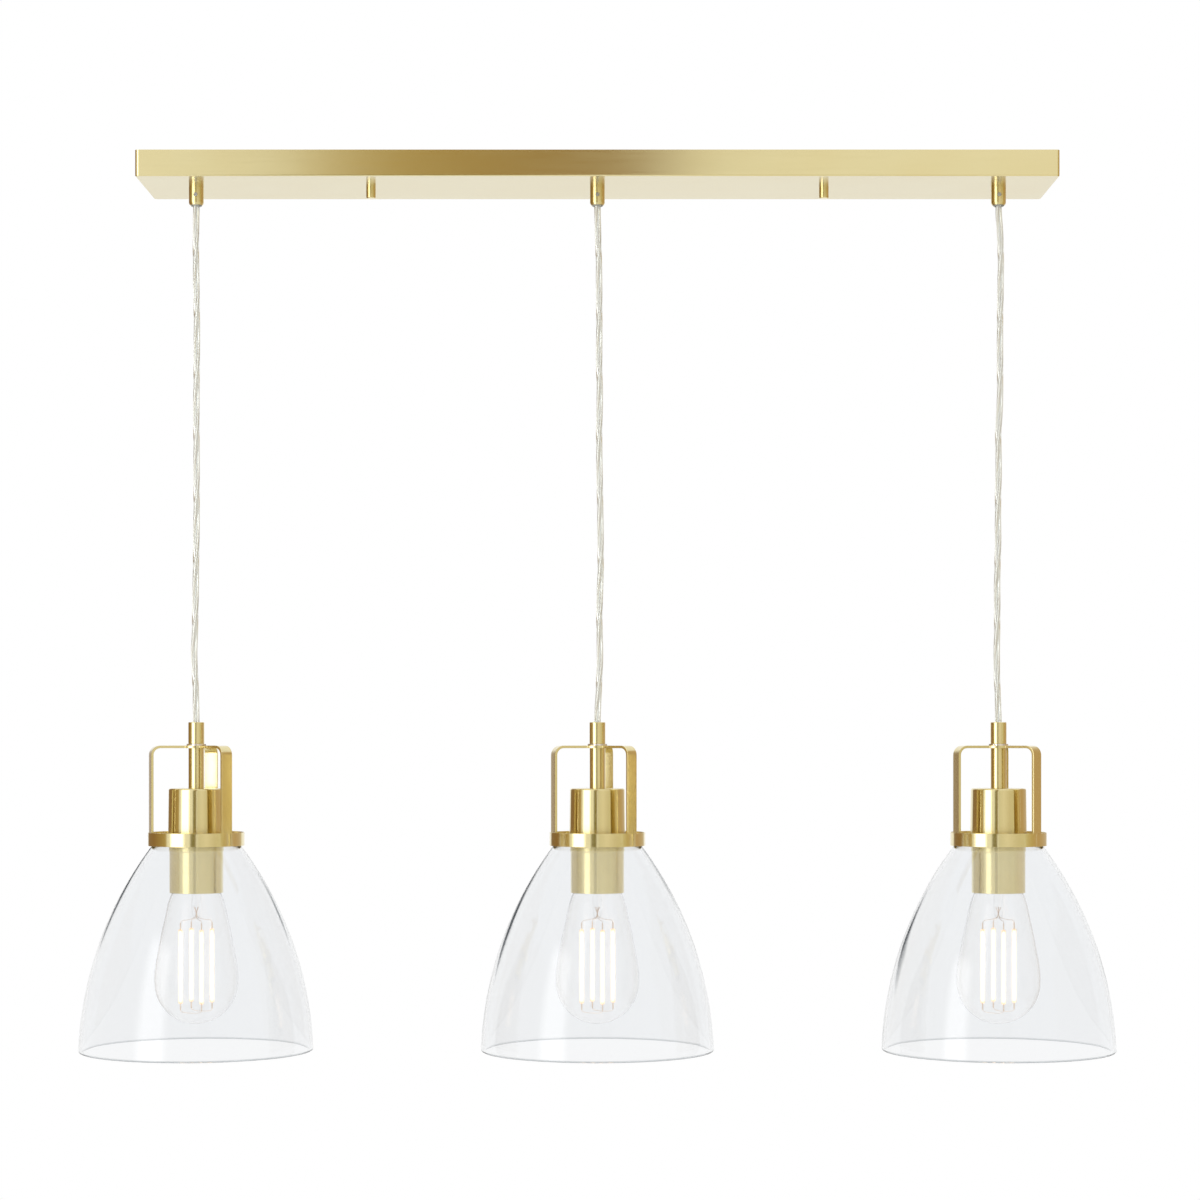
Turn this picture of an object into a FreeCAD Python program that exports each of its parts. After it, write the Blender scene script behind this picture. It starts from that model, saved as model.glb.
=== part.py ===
import FreeCAD, Part
import math
import os

# Linear pendant: three glass shades on cords under one long ceiling canopy.
# Millimetres. The origin is on the ceiling, at the middle of the row. +Z is up, +X runs along the row.
# Every level is worked out downwards from the ceiling, each piece from the one that carries it.

V = FreeCAD.Vector
UP = V(0, 0, 1)

# ---- Driving dimensions ----

# The row
lamp_end_inset = 40.0
side_places = {"left": -1, "centre": 0, "right": 1}

# Canopy: a folded sheet pan, open towards the ceiling
canopy_length = 700.0
canopy_depth = 100.0
canopy_height = 20.0
canopy_wall = 1.2
canopy_corner_radius = 3.0
canopy_edge_radius = 1.0

# Bracket: a flat strap on the ceiling whose joggled ends leave room for the screw heads
bracket_width = 25.0
bracket_thickness = 1.5
bracket_flat_half = 135.0
bracket_joggle_run = 10.0
bracket_joggle_drop = 5.0
bracket_end_length = 48.0
slot_spacing = 100.0
slot_width = 4.5
slot_length = 14.0
cable_hole_diameter = 16.0
bracket_corner_radius = 5.0

# Studs and cap nuts that hold the canopy up
stud_spacing = 350.0
stud_diameter = 4.0
stud_hole_clearance = 0.3
stud_head_diameter = 7.5
stud_head_height = 2.4
stud_nut_flats = 7.0
stud_nut_height = 3.2
cap_nut_diameter = 7.4
cap_nut_length = 8.3
cap_nut_blind_depth = 6.4
cap_nut_edge = 0.6
stud_tip_gap = 0.4

# Cord
cord_diameter = 5.0
cord_free_length = 399.5

# Cord grip
grip_diameter = 11.5
grip_length = 13.5
grip_mouth_diameter = 10.0
grip_taper_length = 1.6
thread_diameter = 9.8
grip_thread_length = 7.2
grip_bore_diameter = 5.4
grip_nut_flats = 14.0
grip_nut_height = 4.0
set_screw_diameter = 3.0
set_screw_height_above_mouth = 7.6
set_screw_recess = 0.2
driver_slot = 0.6

# Bushing: a clear ball in the grip's mouth that rocks as the cord leans
ball_diameter = 9.2
ball_fit = 0.1
ball_above_mouth = 1.5
ball_top_height = 3.4
ball_foot_depth = 2.4
bushing_flare_angle = 9.0
bushing_bore_clearance = 0.06

# Lead inside the canopy and its terminal block
lead_diameter = 3.2
lead_level = 9.0
lead_bend_radius = 6.0
lead_entry_depth = 5.0
lead_start_gap = 0.2
lead_hole_clearance = 0.1
lead_rows = {"left": 25.0, "centre": 15.5, "right": 20.0}
block_length = 36.0
block_width = 22.0
block_height = 14.0
block_start_x = 40.0
block_middle_y = 20.0
block_corner_radius = 1.0
block_screw_diameter = 3.4
block_screw_depth = 3.0
block_screw_clearance = 0.1
block_screw_recess = 0.8

# Collar, lock washer, yoke and stem
collar_diameter = 12.4
collar_length = 16.8
collar_top_wall = 3.4
collar_edge_radius = 0.5
collar_bore_clearance = 0.08
cord_entry = 3.0
washer_diameter = 14.8
washer_thickness = 1.2
washer_teeth = 7
washer_notch_width = 2.0
washer_notch_root = 5.7
yoke_hub_diameter = 22.4
yoke_thickness = 2.0
yoke_arm_width = 10.3
yoke_bend_radius = 7.3
yoke_arms = 3
yoke_first_angle = 78.0
yoke_leg_gap = 0.05
stem_diameter = 12.1
stem_length = 31.0
stem_bore = 6.0
spigot_length = 14.0
spigot_fit = 0.1

# Upper cup over the lampholder
cup_top_diameter = 42.6
cup_bottom_diameter = 43.6
cup_height = 36.6
cup_wall = 0.8
cup_edge_radius = 1.2

# Ring cap: an outer band round a plate that lies on the glass
band_diameter = 74.2
band_wall = 0.7
band_height = 10.3
band_rise = 2.6
plate_thickness = 1.2

# Glass shade
shade_diameter = 180.0
shade_height = 165.0
shade_wall = 2.5
shade_top_radius = 29.1
shade_bulge = 14.0
shade_shoulder = 2.2
shade_rim_bevel = 0.8
shade_curve_steps = 10
shade_hole_diameter = 41.0

# Lower cup: a sleeve screwed on the lampholder, whose flange clamps the glass
flange_diameter = 54.0
flange_thickness = 1.4
sleeve_diameter = 41.4
sleeve_length = 40.7
sleeve_wall = 0.6
sleeve_step = 0.4
sleeve_step_depth = 8.7
sleeve_relief = 0.3
holder_recess = 9.0

# Lampholder, its screw shell and its tongue
holder_shoulder_diameter = 40.2
holder_thread_diameter = 38.4
holder_fit = 0.1
holder_boss_diameter = 18.0
holder_boss_height = 4.0
holder_dome_height = 9.0
holder_dome_out = 0.75
holder_dome_down = 0.35
holder_cavity_diameter = 29.4
holder_cavity_depth = 35.0
holder_edge = 0.6
shell_diameter = 28.6
shell_wall = 0.6
shell_top_gap = 0.8
shell_bottom_gap = 3.0
tongue_width = 5.0
tongue_thickness = 0.6
tongue_drop = 4.4
tongue_half_length = 12.0
tongue_tip_reach = 2.5
lug_gap_half = 0.5
wire_diameter = 1.8
wire_spread = 1.5
wire_top_gap = 1.0

# Bulb with a screw cap
contact_gap = 0.1
bulb_length = 140.0
bulb_diameter = 64.6
bulb_glass_wall = 0.8
button_diameter = 9.5
button_height = 1.5
button_edge = 0.5
insulator_height = 4.0
screw_cap_length = 21.0
screw_cap_crest = 26.2
screw_cap_root = 24.4
screw_cap_wall = 0.4
screw_pitch = 3.63
screw_rings = 5
bulb_neck_overlap = 3.0
bulb_shoulder_radius = 19.0
bulb_taper_radius = 29.6
bulb_taper_height = 23.5

# Filaments inside the bulb
filament_count = 4
filament_circle = 25.4
filament_first_angle = 18.0
filament_diameter = 2.2
filament_length = 57.0
filament_top_depth = 67.0
tab_diameter = 0.9
tab_length = 5.0
support_wire_diameter = 0.6
support_wire_rise = 2.0
support_wire_bend = 1.4
support_wire_foot_circle = 3.2
support_wire_foot_depth = 1.0
glass_stem_diameter = 7.0
glass_stem_length = 26.0
glass_stem_point = 5.0
glass_flare_thickness = 1.2
glass_flare_width = 1.0
glass_flare_height = 3.0

# The outer lamps hang an inset away from the canopy's ends
lamp_pitch = canopy_length / 2 - lamp_end_inset

# ---- Levels, from the ceiling down ----

canopy_floor = -canopy_height + canopy_wall
canopy_underside = -canopy_height
grip_mouth = canopy_underside - grip_length
swivel_level = grip_mouth + ball_above_mouth
collar_top = grip_mouth - cord_free_length
collar_bottom = collar_top - collar_length
yoke_top = collar_bottom - washer_thickness
stem_top = yoke_top - yoke_thickness
cup_top = stem_top - stem_length
plate_top = cup_top - cup_height
shade_top = plate_top - plate_thickness
band_top = plate_top + band_rise
band_bottom = band_top - band_height
shade_rim = shade_top - shade_height
flange_top = shade_top - shade_wall
sleeve_bottom = flange_top - sleeve_length
holder_top = cup_top - cup_wall
holder_bottom = sleeve_bottom + holder_recess
holder_floor = holder_bottom + holder_cavity_depth
bulb_top = holder_floor - tongue_drop - tongue_thickness - contact_gap
bulb_bottom = bulb_top - bulb_length
insulator_top = bulb_top - button_height
screw_cap_top = insulator_top - insulator_height
screw_cap_bottom = screw_cap_top - screw_cap_length

bracket_end_top = -bracket_joggle_drop
bracket_end_bottom = bracket_end_top - bracket_thickness
stud_tip = canopy_underside - cap_nut_blind_depth + stud_tip_gap
set_screw_level = grip_mouth + set_screw_height_above_mouth

thread_radius = thread_diameter / 2
threaded_hole_radius = thread_radius + spigot_fit
band_inner_radius = band_diameter / 2 - band_wall
bulb_neck_radius = screw_cap_root / 2 - screw_cap_wall


# ---- Ways of making a solid ----

def section(start, *moves):
    """Face in the XZ plane. A move is a point for a line, or a middle and an end for an arc."""
    edges = []
    here = V(start[0], 0, start[1])
    for move in moves + (start,):
        if isinstance(move[0], tuple):
            middle, end = (V(x, 0, z) for x, z in move)
            edges.append(Part.Arc(here, middle, end).toShape())
        else:
            end = V(move[0], 0, move[1])
            if end.distanceToPoint(here) > 1e-6:
                edges.append(Part.makeLine(here, end))
        here = end
    return Part.Face(Part.Wire(edges))


def turned(start, *moves):
    """Solid turned about the Z axis."""
    return section(start, *moves).revolve(V(0, 0, 0), UP, 360)


def cut_strip(face, width):
    """Solid of a section, with its width centred on the XZ plane."""
    strip = face.extrude(V(0, width, 0))
    strip.translate(V(0, -width / 2, 0))
    return strip


def rod(diameter, low, high, x=0.0, y=0.0):
    return Part.makeCylinder(diameter / 2, high - low, V(x, y, low))


def rod_between(diameter, start, end):
    return Part.makeCylinder(diameter / 2, start.distanceToPoint(end), start, end - start)


def hexagon(flats, low, height, x=0.0, y=0.0):
    corner = flats / math.sqrt(3)
    angles = [math.radians(60 * turn) for turn in range(7)]
    corners = [V(x + corner * math.cos(angle), y + corner * math.sin(angle), low) for angle in angles]
    return Part.Face(Part.makePolygon(corners)).extrude(V(0, 0, height))


def bend_middle(centre, radius, first, second):
    """Point half way round an arc between two directions in degrees."""
    angle = math.radians((first + second) / 2)
    return (centre[0] + radius * math.cos(angle), centre[1] + radius * math.sin(angle))


def round_edges(shape, radius, wanted):
    edges = [edge for edge in shape.Edges if wanted(edge)]
    return shape.makeFillet(radius, edges)


def moved(shape, x):
    copy = shape.copy()
    copy.translate(V(x, 0, 0))
    return copy


def tube_on_route(points, diameter, radius):
    """Tube on straight runs joined by tangent arcs of one radius."""
    edges = []
    here = points[0]
    for before, corner, after in zip(points, points[1:], points[2:]):
        inward = (corner - before).normalize()
        outward = (after - corner).normalize()
        turn = inward.getAngle(outward)
        setback = radius * math.tan(turn / 2)
        start = corner - inward * setback
        end = corner + outward * setback
        toward_centre = (outward - inward).normalize()
        middle = corner + toward_centre * (radius / math.cos(turn / 2) - radius)
        edges.append(Part.makeLine(here, start))
        edges.append(Part.Arc(start, middle, end).toShape())
        here = end
    edges.append(Part.makeLine(here, points[-1]))
    path = Part.Wire(edges)
    ring = Part.Wire([Part.makeCircle(diameter / 2, points[0], points[1] - points[0])])
    return path.makePipeShell([ring], True, False), path.Length


# ---- Ceiling side ----

def canopy_pan():
    pan = Part.makeBox(canopy_length, canopy_depth, canopy_height,
                       V(-canopy_length / 2, -canopy_depth / 2, canopy_underside))
    pan = round_edges(pan, canopy_corner_radius, lambda edge: edge.BoundBox.ZLength > canopy_height / 2)
    pan = round_edges(pan, canopy_edge_radius,
                      lambda edge: edge.BoundBox.ZMax < canopy_underside + canopy_height / 4)
    hollow = Part.makeBox(canopy_length - 2 * canopy_wall, canopy_depth - 2 * canopy_wall, canopy_height,
                          V(-canopy_length / 2 + canopy_wall, -canopy_depth / 2 + canopy_wall, canopy_floor))
    hollow = round_edges(hollow, canopy_corner_radius - canopy_wall,
                         lambda edge: edge.BoundBox.ZLength > canopy_height / 2)
    pan = pan.cut(hollow)
    for place in side_places.values():
        pan = pan.cut(rod(thread_diameter + 2 * spigot_fit, canopy_underside - 1, canopy_floor + 1,
                          place * lamp_pitch))
    for end in (-1, 1):
        pan = pan.cut(rod(stud_diameter + 2 * stud_hole_clearance, canopy_underside - 1, canopy_floor + 1,
                          end * stud_spacing / 2))
    return pan


def ceiling_bracket():
    flat = bracket_flat_half
    step = flat + bracket_joggle_run
    tip = step + bracket_end_length
    drop = bracket_joggle_drop
    low = -bracket_thickness
    profile = section((-tip, -drop), (-step, -drop), (-flat, 0), (flat, 0), (step, -drop), (tip, -drop),
                      (tip, low - drop), (step, low - drop), (flat, low), (-flat, low),
                      (-step, low - drop), (-tip, low - drop))
    strap = cut_strip(profile, bracket_width)
    strap = round_edges(strap, bracket_corner_radius,
                        lambda edge: abs(edge.BoundBox.XMin) > tip - 0.1 and edge.BoundBox.YLength < 0.1
                        and edge.BoundBox.ZLength > bracket_thickness / 2)
    for end in (-1, 1):
        middle = end * slot_spacing / 2
        half_run = (slot_length - slot_width) / 2
        slot = Part.makeBox(2 * half_run, slot_width, 2 * bracket_thickness,
                            V(middle - half_run, -slot_width / 2, 1.5 * low))
        for tip_x in (middle - half_run, middle + half_run):
            slot = slot.fuse(rod(slot_width, 1.5 * low, -0.5 * low, tip_x))
        strap = strap.cut(slot.removeSplitter())
        strap = strap.cut(rod(stud_diameter + 2 * spigot_fit, 2 * low - drop, 0, end * stud_spacing / 2))
    return strap.cut(rod(cable_hole_diameter, 2 * low, 1))


def bracket_studs():
    studs = []
    for end in (-1, 1):
        x = end * stud_spacing / 2
        shank = rod(stud_diameter, stud_tip, bracket_end_top + stud_head_height / 2, x)
        head = rod(stud_head_diameter, bracket_end_top, bracket_end_top + stud_head_height, x)
        recess = hexagon(stud_head_diameter / 3, bracket_end_top + stud_head_height / 2, stud_head_height, x)
        studs.append(head.fuse(shank).removeSplitter().cut(recess))
    return Part.makeCompound(studs)


def stud_nuts():
    nuts = []
    for end in (-1, 1):
        x = end * stud_spacing / 2
        nut = hexagon(stud_nut_flats, bracket_end_bottom - stud_nut_height, stud_nut_height, x)
        hole = rod(stud_diameter + 2 * spigot_fit, bracket_end_bottom - 2 * stud_nut_height, 0, x)
        nuts.append(nut.cut(hole))
    return Part.makeCompound(nuts)


def cap_nuts():
    radius = cap_nut_diameter / 2
    bore = stud_diameter / 2 + spigot_fit
    blind_end = canopy_underside - cap_nut_blind_depth
    bottom = canopy_underside - cap_nut_length
    nut = turned((bore, canopy_underside), (radius, canopy_underside), (radius, bottom + cap_nut_edge),
                 (radius - cap_nut_edge, bottom), (0, bottom), (0, blind_end), (bore, blind_end))
    return Part.makeCompound([moved(nut, end * stud_spacing / 2) for end in (-1, 1)])


def cord_grip():
    radius = grip_diameter / 2
    bore = grip_bore_diameter / 2
    socket = ball_diameter / 2 + ball_fit
    thread_top = canopy_underside + grip_thread_length
    mouth = math.sqrt(socket ** 2 - ball_above_mouth ** 2)
    throat = swivel_level + math.sqrt(socket ** 2 - bore ** 2)
    grip = turned((bore, thread_top), (thread_radius, thread_top), (thread_radius, canopy_underside),
                  (radius, canopy_underside), (radius, grip_mouth + grip_taper_length),
                  (grip_mouth_diameter / 2, grip_mouth), (mouth, grip_mouth),
                  ((socket, swivel_level), (bore, throat)))
    hole = rod_between(set_screw_diameter + 2 * spigot_fit, V(0, -grip_diameter, set_screw_level),
                       V(0, 0, set_screw_level))
    return grip.cut(hole)


def grip_set_screws():
    outer = grip_diameter / 2 - set_screw_recess
    screw = rod_between(set_screw_diameter, V(0, -outer, set_screw_level),
                        V(0, -lead_diameter / 2, set_screw_level))
    slot = Part.makeBox(set_screw_diameter, driver_slot, driver_slot,
                        V(-set_screw_diameter / 2, -outer, set_screw_level - driver_slot / 2))
    screw = screw.cut(slot)
    return Part.makeCompound([moved(screw, place * lamp_pitch) for place in side_places.values()])


def grip_nuts():
    nut = hexagon(grip_nut_flats, canopy_floor, grip_nut_height)
    nut = nut.cut(rod(thread_diameter + 2 * spigot_fit, canopy_underside, 0))
    return Part.makeCompound([moved(nut, place * lamp_pitch) for place in side_places.values()])


def lead_route(side):
    """From the grip's throat up over the nut, sideways past the bracket, then along to the block."""
    x = side_places[side] * lamp_pitch
    row = lead_rows[side]
    block_face = block_start_x + (block_length if side == "right" else 0)
    into_block = -lead_entry_depth if side == "right" else lead_entry_depth
    throat = swivel_level + ball_diameter / 2 + ball_fit + lead_start_gap
    return [V(x, 0, throat), V(x, 0, -lead_level), V(x, row, -lead_level),
            V(block_face + into_block, row, -lead_level)]


def inner_leads():
    leads = []
    for side in side_places:
        lead, length = tube_on_route(lead_route(side), lead_diameter, lead_bend_radius)
        expected = length * math.pi * lead_diameter ** 2 / 4
        print("%s lead: length %.1f, bend radius %.1f, volume ratio %.4f"
              % (side, length, lead_bend_radius, lead.Volume / expected))
        leads.append(lead)
    return Part.makeCompound(leads)


def terminal_block():
    block = Part.makeBox(block_length, block_width, block_height,
                         V(block_start_x, block_middle_y - block_width / 2, canopy_floor))
    block = round_edges(block, block_corner_radius, lambda edge: edge.BoundBox.ZLength > block_height / 2)
    top = canopy_floor + block_height
    screw_top = top - block_screw_recess
    screws = []
    for row in lead_rows.values():
        hole = rod_between(lead_diameter + 2 * lead_hole_clearance, V(block_start_x - 1, row, -lead_level),
                           V(block_start_x + lead_entry_depth, row, -lead_level))
        block = block.cut(hole)
        block = block.cut(hole.translated(V(block_length - lead_entry_depth + 1, 0, 0)))
        for x in (block_start_x + block_length / 3, block_start_x + 2 * block_length / 3):
            block = block.cut(rod(block_screw_diameter, top - block_screw_depth, top + 1, x, row))
            screw = rod(block_screw_diameter - 2 * block_screw_clearance, top - block_screw_depth,
                        screw_top, x, row)
            groove = Part.makeBox(block_screw_diameter, driver_slot, driver_slot,
                                  V(x - block_screw_diameter / 2, row - driver_slot / 2,
                                    screw_top - driver_slot))
            screws.append(screw.cut(groove))
    return Part.makeCompound([block] + screws)


# ---- One lamp, on the Z axis ----

def cord_bushing():
    ball = ball_diameter / 2
    top = swivel_level + ball_top_height
    foot = swivel_level - ball_foot_depth
    top_radius = math.sqrt(ball ** 2 - ball_top_height ** 2)
    foot_radius = math.sqrt(ball ** 2 - ball_foot_depth ** 2)
    hole = cord_diameter / 2 + bushing_bore_clearance
    flare = hole + ball_foot_depth * math.tan(math.radians(bushing_flare_angle))
    return turned((hole, top), (top_radius, top), ((ball, swivel_level), (foot_radius, foot)),
                  (flare, foot), (hole, swivel_level))


def cord():
    """Straight under the lamp's weight. Its top is round, so that it can turn in the bushing."""
    radius = cord_diameter / 2
    lower_end = collar_top - cord_entry
    crown = bend_middle((0, swivel_level), radius, 90, 0)
    tube = turned((0, swivel_level + radius), (crown, (radius, swivel_level)), (radius, lower_end),
                  (0, lower_end))
    print("cord: straight run %.1f, volume ratio %.4f"
          % (swivel_level - lower_end,
             tube.Volume / (math.pi * radius ** 2 * (swivel_level - lower_end + radius * 2 / 3))))
    return tube


def collar():
    radius = collar_diameter / 2
    hole = cord_diameter / 2 + collar_bore_clearance
    chamber_top = collar_top - collar_top_wall
    edge = collar_edge_radius
    rounding = bend_middle((radius - edge, collar_top - edge), edge, 90, 0)
    return turned((hole, collar_top), (radius - edge, collar_top), (rounding, (radius, collar_top - edge)),
                  (radius, collar_bottom), (threaded_hole_radius, collar_bottom),
                  (threaded_hole_radius, chamber_top), (hole, chamber_top))


def lock_washer():
    low = yoke_top
    washer = rod(washer_diameter, low, collar_bottom)
    washer = washer.cut(rod(thread_diameter + 2 * spigot_fit, low - 1, collar_bottom + 1))
    pitch = 360.0 / washer_teeth
    for tooth in range(washer_teeth):
        notch = Part.makeBox(washer_diameter, washer_notch_width, washer_thickness + 2,
                             V(washer_notch_root, -washer_notch_width / 2, low - 1))
        notch.rotate(V(0, 0, 0), UP, 270 + pitch * (tooth + 0.5))
        washer = washer.cut(notch)
    return washer


def yoke():
    """Three flat arms bent down from one hub. The legs stand inside the band, on the plate."""
    half_width = yoke_arm_width / 2
    outside = math.sqrt(band_inner_radius ** 2 - half_width ** 2) - yoke_leg_gap
    inside = outside - yoke_thickness
    bend = yoke_bend_radius
    inner_bend = bend - yoke_thickness
    centre = (outside - bend, yoke_top - bend)
    start = yoke_hub_diameter / 4
    profile = section((start, yoke_top), (centre[0], yoke_top),
                      (bend_middle(centre, bend, 90, 0), (outside, centre[1])),
                      (outside, plate_top), (inside, plate_top), (inside, centre[1]),
                      (bend_middle(centre, inner_bend, 0, 90), (centre[0], stem_top)),
                      (start, stem_top))
    arm = cut_strip(profile, yoke_arm_width)
    spider = rod(yoke_hub_diameter, stem_top, yoke_top)
    for number in range(yoke_arms):
        turned_arm = arm.copy()
        turned_arm.rotate(V(0, 0, 0), UP, yoke_first_angle + number * 360 / yoke_arms)
        spider = spider.fuse(turned_arm)
    hole = rod(thread_diameter + 2 * spigot_fit, stem_top - 1, yoke_top + 1)
    return spider.removeSplitter().cut(hole)


def stem():
    outer = stem_diameter / 2
    bore = stem_bore / 2
    top = stem_top + spigot_length
    bottom = cup_top - spigot_length
    return turned((bore, top), (thread_radius, top), (thread_radius, stem_top), (outer, stem_top),
                  (outer, cup_top), (thread_radius, cup_top), (thread_radius, bottom), (bore, bottom))


def upper_cup():
    top = cup_top_diameter / 2
    bottom = cup_bottom_diameter / 2
    edge = cup_edge_radius
    inner_edge = edge - cup_wall
    centre = (top - edge, cup_top - edge)
    return turned((threaded_hole_radius, cup_top), (top - edge, cup_top),
                  (bend_middle(centre, edge, 90, 0), (top, centre[1])), (bottom, plate_top),
                  (bottom - cup_wall, plate_top), (top - cup_wall, centre[1]),
                  (bend_middle(centre, inner_edge, 0, 90), (centre[0], holder_top)),
                  (threaded_hole_radius, holder_top))


def ring_cap():
    outer = band_diameter / 2
    hole = holder_thread_diameter / 2 + holder_fit
    return turned((band_inner_radius, band_top), (outer, band_top), (outer, band_bottom),
                  (band_inner_radius, band_bottom), (band_inner_radius, shade_top), (hole, shade_top),
                  (hole, plate_top), (band_inner_radius, plate_top))


def arc_through(first, last, bulge):
    """Centre and radius of the arc from first to last that stands out from its chord by the bulge."""
    chord = math.hypot(last[0] - first[0], last[1] - first[1])
    radius = (chord ** 2 / 4 + bulge ** 2) / (2 * bulge)
    along = ((last[0] - first[0]) / chord, (last[1] - first[1]) / chord)
    middle = ((first[0] + last[0]) / 2, (first[1] + last[1]) / 2)
    reach = radius - bulge
    return (middle[0] + along[1] * reach, middle[1] - along[0] * reach), radius


def on_arc(centre, radius, level):
    """Point of the outer half of a circle at a level."""
    return (centre[0] + math.sqrt(radius ** 2 - (level - centre[1]) ** 2), level)


def glass_shade():
    """Follows one arc from shoulder to rim in short cones, with the wall inside it."""
    rim_level = shade_rim + shade_rim_bevel
    centre, radius = arc_through((shade_top_radius, shade_top), (shade_diameter / 2, rim_level), shade_bulge)
    inner_top = shade_top - shade_wall

    def curve(from_radius, start, end):
        levels = [start + (end - start) * step / shade_curve_steps for step in range(shade_curve_steps + 1)]
        return [on_arc(centre, from_radius, level) for level in levels]

    outside = curve(radius, shade_top - shade_shoulder, rim_level)
    inside = curve(radius - shade_wall, rim_level, inner_top)
    hole = shade_hole_diameter / 2
    return turned((hole, shade_top), (shade_top_radius - shade_shoulder, shade_top), *outside,
                  (outside[-1][0] - shade_rim_bevel, shade_rim), (inside[0][0] + shade_rim_bevel, shade_rim),
                  *inside, (hole, inner_top))


def lower_cup():
    outer = sleeve_diameter / 2
    collar_radius = outer + sleeve_step
    collar_end = flange_top - sleeve_step_depth
    threaded = holder_thread_diameter / 2 + holder_fit
    mouth = outer - sleeve_wall
    flange = flange_diameter / 2
    flange_bottom = flange_top - flange_thickness
    return turned((threaded, flange_top), (flange, flange_top), (flange, flange_bottom),
                  (collar_radius, flange_bottom), (collar_radius, collar_end),
                  (outer, collar_end - sleeve_step), (outer, sleeve_bottom), (mouth, sleeve_bottom),
                  (mouth, holder_bottom - sleeve_relief), (threaded, holder_bottom - sleeve_relief))


def lampholder():
    shoulder = holder_shoulder_diameter / 2
    threaded = holder_thread_diameter / 2
    cavity = holder_cavity_diameter / 2
    boss = holder_boss_diameter / 2
    boss_bottom = holder_top - holder_boss_height
    dome_bottom = boss_bottom - holder_dome_height
    dome = (boss + holder_dome_out * (shoulder - boss), boss_bottom - holder_dome_down * holder_dome_height)
    wire_way = stem_bore / 2
    thread_end = cup_top - spigot_length
    return turned((threaded_hole_radius, holder_top), (boss, holder_top), (boss, boss_bottom),
                  dome, (shoulder, dome_bottom), (shoulder, plate_top), (threaded, plate_top),
                  (threaded, holder_bottom), (cavity + holder_edge, holder_bottom),
                  (cavity, holder_bottom + holder_edge), (cavity, holder_floor), (wire_way, holder_floor),
                  (wire_way, thread_end), (threaded_hole_radius, thread_end))


def holder_contacts():
    """Screw shell, hairpin tongue for the bulb's button, and the two conductors that come down the stem."""
    outer = shell_diameter / 2
    top = holder_floor - shell_top_gap
    bottom = holder_bottom + shell_bottom_gap
    shell = turned((outer - shell_wall, top), (outer, top), (outer, bottom), (outer - shell_wall, bottom))
    half = tongue_half_length
    sheet = tongue_thickness
    fold = holder_floor - 2 * sheet
    tip = holder_floor - tongue_drop
    reach = tongue_tip_reach
    tongue = cut_strip(section((-half, holder_floor), (-lug_gap_half, holder_floor),
                               (-lug_gap_half, holder_floor - sheet), (sheet - half, holder_floor - sheet),
                               (sheet - half, fold), (reach, tip), (reach, tip - sheet),
                               (-half, fold - sheet)), tongue_width)
    lug = cut_strip(section((lug_gap_half, holder_floor), (outer, holder_floor), (outer, top),
                            (lug_gap_half, top)), tongue_width)
    wires = [rod(wire_diameter, holder_floor, stem_top + spigot_length - wire_top_gap, side * wire_spread)
             for side in (-1, 1)]
    return Part.makeCompound([shell, tongue, lug] + wires)


def bulb_contact():
    radius = button_diameter / 2
    return turned((0, bulb_top), (radius - button_edge, bulb_top), (radius, bulb_top - button_edge),
                  (radius, insulator_top), (0, insulator_top))


def bulb_cap():
    """Insulator and screw shell. Plain rings stand for the thread."""
    crest = screw_cap_crest / 2
    root = screw_cap_root / 2
    ring_start = screw_cap_top - (screw_cap_length - screw_pitch * screw_rings) / 2
    moves = [(root, screw_cap_top), (root, ring_start)]
    for ring in range(screw_rings):
        high = ring_start - ring * screw_pitch
        moves += [(crest, high - screw_pitch / 2), (root, high - screw_pitch)]
    moves += [(root, screw_cap_bottom), (bulb_neck_radius, screw_cap_bottom),
              (bulb_neck_radius, screw_cap_top)]
    shell = turned(*moves)
    insulator = turned((0, insulator_top), (button_diameter / 2, insulator_top), (root, screw_cap_top),
                       (0, screw_cap_top))
    return Part.makeCompound([insulator, shell])


def bulb_outline(inset):
    """Outline of the envelope, or of its inside: neck, shoulder, taper, then a long curve to a round end."""
    widest = bulb_diameter / 2 - inset
    ball_level = bulb_bottom + bulb_diameter / 2
    taper_level = ball_level + bulb_taper_height
    taper = bulb_taper_radius - inset
    neck = bulb_neck_radius - inset
    narrowing = widest - taper
    radius = (bulb_taper_height ** 2 + narrowing ** 2) / (2 * narrowing)
    centre = (widest - radius, ball_level)
    round_end = bend_middle((0, ball_level), widest, 0, -90)
    return [(neck, screw_cap_bottom + bulb_neck_overlap), (neck, screw_cap_bottom),
            (bulb_shoulder_radius - inset, sleeve_bottom), (taper, taper_level),
            (on_arc(centre, radius, (ball_level + taper_level) / 2), (widest, ball_level)),
            (round_end, (0, ball_level - widest))]


def bulb_glass():
    outer = bulb_outline(0)
    inner = bulb_outline(bulb_glass_wall)
    solid = turned(*outer, (0, outer[0][1]))
    hollow = turned(*inner, (0, inner[0][1]))
    return solid.cut(hollow)


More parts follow.
